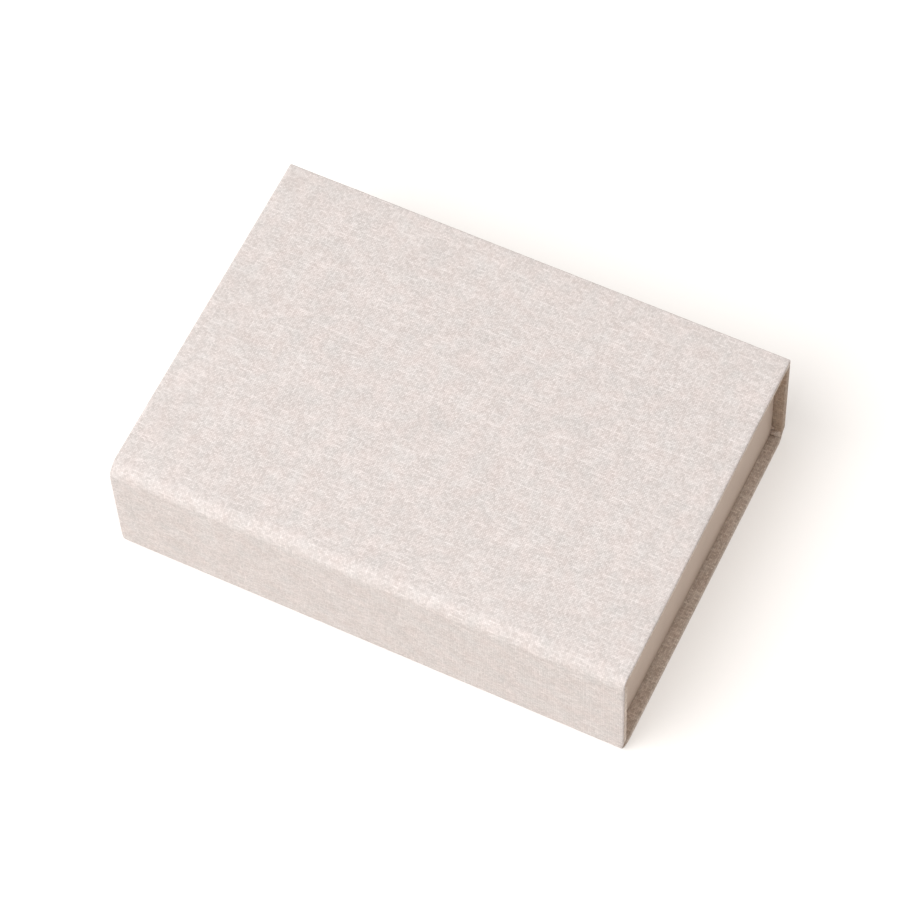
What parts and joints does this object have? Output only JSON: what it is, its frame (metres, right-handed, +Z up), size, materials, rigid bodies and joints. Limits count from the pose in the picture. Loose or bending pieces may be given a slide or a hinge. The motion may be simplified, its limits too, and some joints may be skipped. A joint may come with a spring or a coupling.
{
  "type": "photo storage box",
  "caption": "Book-style photo storage box: a linen-covered board case whose spine and lid open flat, around a paper-covered tray for prints.",
  "frame": {"origin": "middle of the underside of the closed box", "axes": "+X along the length, +Y from the spine to the front, +Z up"},
  "size_m": [0.18, 0.128, 0.048],
  "materials": {
    "linen": "fine linen bookcloth, sand",
    "greyboard": "raw grey bookbinding board",
    "tray_paper": "smooth uncoated taupe covering paper",
    "lining_paper": "smooth uncoated taupe lining paper",
    "stay_paper": "gummed brown paper"
  },
  "bodies": {
    "case_and_tray": {"base_board": "greyboard", "front_board": "greyboard", "base_cloth": "linen", "front_cloth": "linen", "foot_fold_cloth": "linen", "foot_fold_lining": "linen", "front_fold_cloth": "linen", "front_fold_lining": "linen", "tray_floor_board": "greyboard", "tray_spine_wall": "greyboard", "tray_front_wall": "greyboard", "tray_left_wall": "greyboard", "tray_right_wall": "greyboard", "corner_stay_spine_left": "stay_paper", "corner_stay_spine_right": "stay_paper", "corner_stay_front_left": "stay_paper", "corner_stay_front_right": "stay_paper", "tray_wrap": "tray_paper", "tray_floor_paper": "tray_paper"},
    "spine": {"spine_board": "greyboard", "spine_cloth": "linen", "spine_lining": "linen", "top_fold_cloth": "linen", "top_fold_lining": "linen"},
    "lid": {"lid_board": "greyboard", "lid_cloth": "linen", "lid_lining": "lining_paper"}
  },
  "joints": [
    {"name": "spine_hinge", "type": "hinge", "parent": "case_and_tray", "child": "spine", "pos_m": [0, -0.06336, 0.00064], "axis": [1, 0, 0], "range_deg": [0, 90], "deforming": ["foot_fold_cloth", "foot_fold_lining"]},
    {"name": "lid_hinge", "type": "hinge", "parent": "spine", "child": "lid", "pos_m": [0, -0.06297, 0.04697], "axis": [1, 0, 0], "range_deg": [0, 90], "deforming": ["top_fold_cloth", "top_fold_lining"]}
  ]
}
